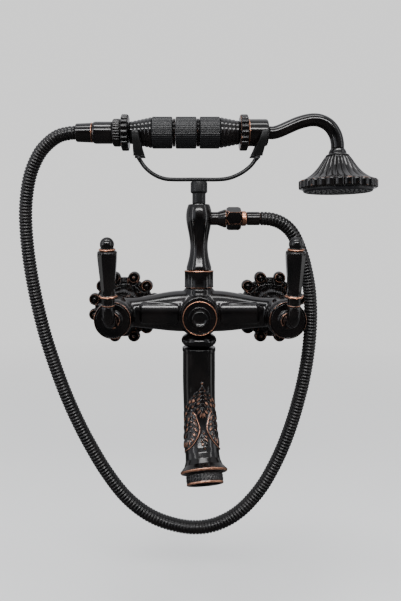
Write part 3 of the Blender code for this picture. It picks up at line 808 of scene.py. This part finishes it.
def ring_flutes(theta, h, r):
    """Narrow flutes round the ring behind the lobed one."""
    count, depth, low, high, fade = 30, 0.9, -78.2, -72.0, 0.8
    band = step_up(h, low, low + fade) * step_up(-h, -high, -high + fade)
    return r - depth * band * (1 - np.abs(np.cos(theta * count / 2)) ** 0.5)


def grip_flutes(theta, h, r):
    """Shallow lengthwise ribs round each grip."""
    count, depth = 48, 0.28
    ribs = 0.5 + 0.5 * np.cos(theta * count)
    return r - depth * step_up(r, 13.6, 14.4) * (1 - ribs)


def ribbed_cone(low, high, r_low, r_high, ribs):
    """Rounded ring ribs along a cone."""
    depth, per_rib = 0.75, 10
    h = np.linspace(low, high, ribs * per_rib + 1)
    t = (h - low) / (high - low)
    wave = np.sqrt(np.abs(np.sin(t * ribs * math.pi)))
    return list(zip(r_low + (r_high - r_low) * t - depth * (1 - wave), h))


def build_handset():
    axis = frame_at((0, BODY_DEPTH, HANDSET_Z), "+x")

    def part(name, node_name, profile, material=BRONZE, slot="dark_bronze", **options):
        stands_for(lathe(name, profile, material, axis, **options), "handset", node_name, slot=slot)

    part("hose_cone_turned", "hose_cone",
         [(6.5, -113), (7.9, -112.9), (8.4, -112.2), (9.0, -98.7), (9.1, -98.2, 0.8), (8.9, -97.8, 0.8),
          (6, -97.6)])
    part("handset_tail_turned", "handset_tail",
         [(7.4, -97.3), (9.1, -97.2, 0.4), (9.5, -96.7, 0.4), (9.9, -95.8), (10.1, -95), (10.1, -80.4),
          (9.8, -79.6, 0.3), (7, -79.2)])
    part("handset_fluted_ring_cast", "handset_fluted_ring",
         [(9, -78.9), (11.8, -78.9), (12.7, -77.6), (12.7, -72.9), (11.8, -71.4), (9, -71.3)],
         shape=ring_flutes, count=240, rows=40)
    part("handset_lobed_ring_rear_cast", "handset_lobed_ring_rear",
         [(9, -71), (15.6, -71, 0.3), (16.7, -70.2, 0.28), (16.7, -65.2, 0.28), (15.6, -64.4, 0.25),
          (9, -64.3)],
         shape=ring_lobes, count=360, rows=40)
    part("handset_taper_rear_ribbed", "handset_taper_rear",
         [(8, -64)] + ribbed_cone(-63.9, -43.3, 9.9, 14.2, 6) + [(9, -43.3)], raw=True)
    for number, (low, high) in enumerate(((-43, -24.4), (-21.4, -2.4), (0.6, 19)), start=1):
        part(f"handset_grip_moulded_{number}", f"handset_grip_{number}",
             [(11, low), (13.7, low), (14.4, low + 0.5), (14.5, low + 1.2), (14.5, high - 1.2),
              (14.4, high - 0.5), (13.7, high), (11, high)],
             GRIP, "matte_black", shape=grip_flutes, count=384, rows=30)
    for number, (low, high) in enumerate(((-24.1, -21.7), (-2.1, 0.3)), start=1):
        part(f"handset_grip_ring_turned_{number}", f"handset_grip_ring_{number}",
             [(10, low), (12.2, low), (13.2, low + 0.5, 0.35), (12.3, (low + high) / 2),
              (13.2, high - 0.5, 0.35), (12.2, high), (10, high)], radius=0.3)
    part("handset_taper_front_ribbed", "handset_taper_front",
         [(8, 19.3)] + ribbed_cone(19.35, 37.2, 14.1, 10.7, 5) + [(8, 37.2)], raw=True)
    part("handset_lobed_ring_front_cast", "handset_lobed_ring_front",
         [(9, 37.5), (15.4, 37.5, 0.5), (16.6, 38.2, 0.3), (16.6, 43.8, 0.2), (15.4, 44.6, 0.1), (9, 44.7)],
         shape=ring_lobes, count=360, rows=40)
    part("handset_cup_turned", "handset_cup",
         [(9, 45), (12.1, 45, 0.9), (12.5, 45.4, 0.95), (12.4, 46.2, 0.2), (12.3, 46.8), (12.3, 61.4),
          (11.6, 62.9), (9.0, 63.1), (7.6, 63.3), (6.9, 63.9), (5, 64)], radius=0.8)
    build_neck()
    build_rose()


def build_neck():
    pipe_r, rows, sides = 5.95, 120, 48
    route = [(64.4, 167.4), (68.4, 167.4), (74, 168.9), (82, 172.4), (92, 176.6), (103, 179.2), (112, 178.4),
             (119.8, 174), (125, 166.6), (127.2, 159), (ROSE_X, 152.9)]
    path = even_path(smooth_path([(x, BODY_DEPTH, z) for x, z in route], 12), rows)
    neck = skin("handset_neck_bent", sweep(path, np.full(rows, pipe_r), sides), BRONZE)
    stands_for(neck, "handset", "handset_neck")


ROSE_FLUTES = 26
NOZZLE_RINGS = ((5, 6), (10, 12), (15, 18), (20, 24), (25, 30))     # radius and count


def rose_shape(theta, h, r):
    """Flutes down the trumpet and scallops round its rim."""
    rim_depth, rim_wear = 1.9, 0.3
    off = np.abs(np.sin(theta * ROSE_FLUTES / 2))
    groove = 1 - off ** 0.6
    trumpet = step_up(h, 121.5, 125.0) * step_up(-h, -145.2, -144.0)
    depth = np.interp(r, (11, 20, 34), (0.9, 1.4, 1.7))
    rim = step_up(r, 33.0, 34.6) * (h < 124)
    made = r - (r > 11.0) * trumpet * depth * groove - rim * rim_depth * groove
    return made, rim * rim_wear * step_up(off, 0.6, 0.95)


def build_rose():
    matrix = frame_at((ROSE_X, BODY_DEPTH, 0))
    outline = [(5.8, 145.5), (10.2, 145.5), (10.7, 145.9, 0.2), (10.6, 146.6, 0.2), (9.8, 147.0),
               (8.6, 147.4), (8.1, 148.4), (7.7, 150.2), (6.9, 151.6), (6.4, 152.4), (5.8, 152.6)]
    stands_for(lathe("rose_collar_turned", outline, BRONZE, matrix), "handset", "rose_collar")

    knots = [(34.4, 123.5), (31, 124.6), (27, 126.8), (22.4, 130.4), (18.4, 134.8), (15.2, 139.3),
             (12.8, 143), (11.3, 145.1)]
    outline = [(31.4, 115.6), (33.4, 115.6), (34.9, 116.2, 0.3), (35.2, 117.0), (35.2, 122.2),
               (35.0, 123.0, 0.5)]
    outline += smooth_outline(knots, 8)
    outline += [(6, 145.2), (6, 142), (10, 136), (16.4, 128.8), (24, 124), (31.4, 120.6)]
    bell = ring_piece("rose_bell_fluted", outline, BRONZE, matrix, rose_shape,
                      count=ROSE_FLUTES * 16, rows=120)
    stands_for(bell, "handset", "rose_bell")

    outline = [(20, 120), (31, 120), (31.1, 114.2), (30.6, 113.2), (29.4, 112.6), (28.6, 113.0), (0.5, 113.2)]
    pieces = [lathe("rose_face_turned", outline, FACE, matrix, radius=0.4)]
    nozzle = [(0.9, 113.4), (0.75, 112.9), (0.55, 112.5), (0.2, 112.45)]
    for ring_r, count in NOZZLE_RINGS:
        for k in range(count):
            a = 2 * math.pi * k / count
            spot = frame_at((ROSE_X + ring_r * math.cos(a), BODY_DEPTH + ring_r * math.sin(a), 0))
            pieces.append(lathe("nozzle", nozzle, FACE, spot, count=10, raw=True))
    fused = joined("rose_face_nozzles", pieces)
    coat(fused, FACE)
    stands_for(fused, "handset", "rose_face", slot="rose_face")


# Spout

def spout_axis(distance):
    """Depth, height and lean of the spout's centre line: straight, then a bend, then straight again."""
    angle = np.clip((distance - SPOUT_STRAIGHT) / SPOUT_BEND_R, 0, SPOUT_BEND)
    straight = np.minimum(distance, SPOUT_STRAIGHT)
    past = np.maximum(distance - SPOUT_STRAIGHT - SPOUT_BEND * SPOUT_BEND_R, 0)
    y = -SPOUT_BEND_R * (1 - np.cos(angle)) - past * np.sin(angle)
    z = -straight - SPOUT_BEND_R * np.sin(angle) - past * np.cos(angle)
    return y, z, angle


# The cast foliage on the spout's front. Each leaflet runs from its foot to its tip, both (across, down), and
# has a half width. One half is listed and mirrored. A bead has its place and its radius.
PLUME = [((0.3, 33), (2.8, 38.5), 1.0), ((0.3, 37), (4.2, 43), 1.15), ((0.3, 41), (5.0, 47.5), 1.25),
         ((0.3, 45), (5.4, 51.8), 1.3), ((0.3, 49), (5.4, 56.2), 1.35), ((0.3, 53), (4.8, 60.2), 1.3),
         ((0.2, 56.5), (2.4, 63.2), 1.2)]
WINGS = [((4.2, 38), (8.0, 43.5), 1.3), ((5.2, 43), (9.4, 49), 1.4), ((5.8, 48), (10.2, 54.2), 1.5),
         ((6.0, 53), (9.6, 59.5), 1.4), ((8.4, 43), (12.6, 50), 1.5), ((9.6, 49), (14.2, 56), 1.5),
         ((12.6, 48), (17.0, 55), 1.5), ((13.6, 55), (18.0, 62), 1.5)]
SIDE_LEAF = [((9.5, 60), (6.6, 66.5), 1.3), ((10, 64.5), (5.6, 71.5), 1.3), ((10.5, 69), (5.4, 76), 1.35),
             ((11, 73.5), (7.2, 80.5), 1.4), ((12, 77.5), (9.8, 85), 1.4), ((13.4, 80), (13.0, 88), 1.4),
             ((15.4, 80.5), (16.8, 89.3), 1.5), ((17.6, 79), (20.5, 89.5), 1.5),
             ((11, 60), (14.5, 66.5), 1.4), ((11.8, 65), (16.2, 71), 1.4), ((12.6, 70), (17.8, 76), 1.5),
             ((14.5, 75), (19.6, 81.5), 1.5), ((17, 60), (20.5, 67), 1.5), ((19, 67.5), (23, 74), 1.5),
             ((21, 75), (24.5, 82), 1.5), ((22, 82), (25.5, 89), 1.5)]
PENDANT = [((0.2, 78.5), (2.6, 82.2), 0.9), ((0.2, 81.5), (3.0, 86), 1.0), ((0.2, 84.5), (2.6, 89.5), 1.0)]
MIDRIB = [((0, 54), (0, 64), 1.1), ((0, 31), (0, 36), 1.2), ((0, 75.5), (0, 79), 1.0),
          ((0, 80), (0, 85), 0.9), ((0, 86), (0, 93), 1.5)]
BEADS = [(0, 29.6, 1.4), (10.3, 62, 0.9), (10.8, 66.5, 0.9), (11.4, 71, 0.9), (12.4, 75.3, 0.9)]
# Inner border of the two big side leaves
BORDER_DOWN = (58, 60.5, 66, 73, 79, 86, 90.2, 92.4)
BORDER_ACROSS = (8.4, 6.6, 4.9, 3.3, 4.6, 8.9, 14.2, 23.0)


def leaf_relief(s, d):
    """Height and copper wear of the cast foliage; s is across the front and d is down the spout."""
    a = np.abs(s)
    border = smooth_path([(across, 0, down) for across, down in zip(BORDER_ACROSS, BORDER_DOWN)], 8)
    edge = np.interp(d, border[:, 2], border[:, 0])
    ground = step_up(d, 31.0, 40.0) * (1 - step_up(d, 56.0, 62.0)) * (1 - step_up(a, 8.0, 24.0))
    ground = np.maximum(ground, step_up(a - edge, 0.0, 0.6) * (d > 58) * (d < 92.4)) * 0.3
    crest = np.zeros_like(a)
    raised = np.zeros_like(a)
    for (s0, d0), (s1, d1), half in PLUME + WINGS + SIDE_LEAF + PENDANT + MIDRIB:
        length = math.hypot(s1 - s0, d1 - d0)
        along = ((a - s0) * (s1 - s0) + (d - d0) * (d1 - d0)) / length ** 2
        across = ((a - s0) * (d1 - d0) - (d - d0) * (s1 - s0)) / length
        swell = np.sin(np.clip(along, 0, 1) ** 1.25 * math.pi) ** 0.7
        width = np.maximum(half * swell, 0.01)
        dome = np.sqrt(np.clip(1 - (across / width) ** 2, 0, 1)) * (along > 0) * (along < 1)
        vein = bell_curve(across, 0, 0.28) * dome
        raised = np.maximum(raised, dome * (0.5 + 0.5 * swell) - 0.35 * vein)
        crest = np.maximum(crest, dome ** 2 * (0.45 + 0.55 * along) - 0.3 * vein)
    for s0, d0, size in BEADS:
        dome = np.sqrt(np.clip(1 - ((a - s0) ** 2 + (d - d0) ** 2) / size ** 2, 0, 1))
        raised, crest = np.maximum(raised, dome), np.maximum(crest, 0.8 * dome)
    slope = np.hypot(1, np.gradient(edge, axis=0) / np.maximum(np.gradient(d, axis=0), 1e-6))
    rim = bell_curve((a - edge) / np.minimum(slope, 6.0), 0, 0.45) * (d > 58) * (d < 92.4)
    return ground + 0.95 * np.maximum(raised, rim), np.maximum(0.78 * crest, 0.75 * rim)


def build_spout():
    turn = Matrix.Translation((0, BODY_DEPTH, SPOUT_TOP)) @ Matrix.Rotation(SPOUT_REST_TURN, 4, "Z")
    rows, count, skin_r, front_r = 560, 360, 13.2, 15.0
    outline = [(12, 0), (15.0, 0.1, 0.2), (15.3, 0.6, 0.2), (15.3, 3.2, 0.1), (14.8, 3.8), (14.8, 12),
               (14.8, 28), (14.6, 42), (14.4, 56), (14.5, 70), (15.0, 82), (15.3, 91), (15.1, 95),
               (15.4, 100), (16.9, 104.4), (19.4, 107.2), (20.6, 108.3, 0.3), (20.7, 109.2, 0.75),
               (20.0, 110.2, 0.6), (17.0, 110.9, 0.2), (15.7, 111.8), (15.7, 117.4), (16.1, 118.4, 0.6),
               (15.9, 119.5, 0.8), (13.6, 119.6, 0.3), (13.0, 119.0), (13.0, 106)]
    theta, r, d, wear = round_axis(with_steps(soften(outline, 0.5), rows), count)
    front = (theta + math.pi / 2 + math.pi) % (2 * math.pi) - math.pi
    outside = r > skin_r
    relief, crest = leaf_relief(front * front_r, d)
    leafy = outside * (d > 27) * (d < 95)
    band = outside * step_up(d, 112.0, 112.6) * (1 - step_up(d, 116.8, 117.4)) * (r < 16.4)
    scroll = np.abs(np.sin(theta * 17)) ** 0.7 * (0.6 + 0.4 * np.cos(theta * 34 + d * 2.2))
    r = r + relief * leafy + 0.55 * band * scroll
    wear = np.maximum(wear, np.maximum(crest * leafy, 0.3 * band * step_up(scroll, 0.7, 0.95)))
    y, z, lean = spout_axis(d)
    points = np.stack([r * np.cos(theta), y + r * np.sin(theta) * np.cos(lean),
                       z - r * np.sin(theta) * np.sin(lean)], 2)
    stands_for(skin("spout_cast", apply_matrix(turn, points), BRONZE, wear), "spout", "spout")

    ball = [(7.9 + 8.2 * math.cos(a), -23.0 + 6.1 * math.sin(a)) for a in np.linspace(-1.3, 1.3, 30)]
    outline = [(9.4, -29.2), (10, -29.2)] + ball + [(10, -16.9), (9.4, -16.9)]
    nut = lathe("spout_nut_turned", outline, BRONZE, frame_at((0, BODY_DEPTH, 0)), raw=True)
    stands_for(nut, "mixer", "spout_nut")


def carried_over():
    """CAD nodes whose shape is right keep it and get their finish here."""
    finish = {"diverter_cartridge": PLASTIC, "aerator": BRASS}
    for side in ("left", "right"):
        finish.update({f"valve_cartridge_{side}": PLASTIC, f"valve_spindle_{side}": BRASS,
                       f"union_gasket_{side}": GASKET})
    for name, material in finish.items():
        slots = bpy.data.objects[name].data.materials
        slots.clear()
        slots.append(material)


# Stage

def link_light(name, kind, power):
    data = bpy.data.lights.new(name, kind)
    data.energy = power
    return placed(name, data)


def area_light(name, place, size, power):
    """A rectangular light turned towards the mixer."""
    light = link_light(name, "AREA", power)
    light.data.shape = "RECTANGLE"
    light.data.size, light.data.size_y = size
    light.location = place
    light.rotation_euler = (Vector(MIDDLE) - Vector(place)).to_track_quat("-Z", "Y").to_euler()


MIDDLE = (0, -0.06, 0)
FLOOR_DROP = 0.12                   # metres below the lowest point
FLOOR_HALF = 3.0
HAZE_FROM, HAZE_FULL = 0.35, 1.6    # metres from the floor's middle
BACKDROP = (1.2, 1.2, 1.195, 1.0)
ROOM_FRONT = (0.04, 0.04, 0.043)    # what the pieces mirror in front of the wall's plane
ROOM_BEHIND = (0.56, 0.56, 0.58)    # and behind it
SOFT_BOXES = (                      # direction, inner and outer half angles in degrees, colour
    ((0, -0.25, 1), 35, 70, (0.8, 0.82, 0.86)),
    ((-1, -0.3, 0.1), 12, 50, (0.8, 0.83, 0.9)),
    ((-0.72, -0.68, 0.15), 3, 16, (0.8, 0.85, 0.95)),
    ((1, -0.3, 0.1), 12, 45, (0.6, 0.62, 0.66)),
)


def soft_box(tree, direction, under, toward, inner, outer, colour):
    """Add a round light with soft edges to the room's colour."""
    aim = node(tree, "ShaderNodeVectorMath")
    aim.operation = "DOT_PRODUCT"
    tree.links.new(direction, aim.inputs[0])
    aim.inputs[1].default_value = Vector(toward).normalized()
    edge, full = math.cos(math.radians(outer)), math.cos(math.radians(inner))
    return mixed(tree, spread(tree, aim.outputs["Value"], edge, full, 0, 1), under, colour, "ADD")


def build_floor():
    """A pale floor. The camera sees it fade into the backdrop; the pieces mirror it as dark."""
    bm = bmesh.new()
    bmesh.ops.create_grid(bm, x_segments=1, y_segments=1, size=FLOOR_HALF)
    mesh = bpy.data.meshes.new("floor")
    bm.to_mesh(mesh)
    bm.free()
    floor = placed("floor", mesh)
    floor.location.z = CAD_BOX[0][2] - FLOOR_DROP
    material, tree, shader = new_material("floor")
    rays = tree.nodes.new("ShaderNodeLightPath")
    tree.links.new(mixed(tree, rays.outputs["Is Glossy Ray"], (0.8, 0.8, 0.79), (0.04, 0.04, 0.04)),
                   shader.inputs["Base Color"])
    shader.inputs["Roughness"].default_value = 0.9
    away = node(tree, "ShaderNodeVectorMath")
    away.operation = "LENGTH"
    tree.links.new(tree.nodes.new("ShaderNodeTexCoord").outputs["Object"], away.inputs[0])
    far = worked_out(tree, "MULTIPLY", spread(tree, away.outputs["Value"], HAZE_FROM, HAZE_FULL, 0.0, 1.0),
                     rays.outputs["Is Camera Ray"])
    haze = node(tree, "ShaderNodeEmission", Color=BACKDROP)
    surface = mixed_shaders(tree, far, shader.outputs["BSDF"], haze.outputs["Emission"])
    tree.links.new(surface, tree.nodes["Material Output"].inputs["Surface"])
    mesh.materials.append(material)


def build_room():
    """The camera sees a plain backdrop; the pieces mirror a dim room with soft boxes."""
    world = bpy.data.worlds.new("studio")
    bpy.context.scene.world = world
    world.use_nodes = True
    tree = world.node_tree
    back = tree.nodes["Background"]
    direction = tree.nodes.new("ShaderNodeTexCoord").outputs["Generated"]
    parts = tree.nodes.new("ShaderNodeSeparateXYZ")
    tree.links.new(direction, parts.inputs["Vector"])
    glow = mixed(tree, spread(tree, parts.outputs["Y"], -0.05, 0.45, 0.0, 1.0), ROOM_FRONT, ROOM_BEHIND)
    for toward, inner, outer, colour in SOFT_BOXES:
        glow = soft_box(tree, direction, glow, toward, inner, outer, colour)
    tree.links.new(glow, back.inputs["Color"])
    seen = node(tree, "ShaderNodeBackground", Color=BACKDROP)
    rays = tree.nodes.new("ShaderNodeLightPath")
    surface = mixed_shaders(tree, rays.outputs["Is Camera Ray"], back.outputs["Background"],
                            seen.outputs["Background"])
    tree.links.new(surface, tree.nodes["World Output"].inputs["Surface"])


def build_lights():
    area_light("ceiling", (0, -0.45, 1.15), (1.3, 0.2), 8)
    area_light("window", (0, -1.1, 0.64), (1.3, 0.13), 15)
    area_light("strip_left", (-0.8, -0.5, 0.2), (0.05, 0.8), 1.2)
    area_light("strip_right", (0.9, -0.45, 0.25), (0.07, 1.0), 1.5)
    area_light("low_left", (-0.75, 0, -0.15), (0.22, 0.5), 0.28)
    area_light("low_right", (0.75, 0, -0.15), (0.22, 0.5), 0.34)
    sun = link_light("sun", "SUN", 0.5)
    sun.data.angle = math.radians(12)
    sun.rotation_euler = (math.radians(24), math.radians(-10), 0)


make_camera()
build_hose()
for side_name, side_x in (("left", -INLET_X), ("right", INLET_X)):
    build_inlet(side_name, side_x)
    build_lever(side_name, side_x)
build_body()
build_diverter()
build_riser()
build_cradle()
build_handset()
build_spout()
carried_over()
build_floor()
build_room()
build_lights()
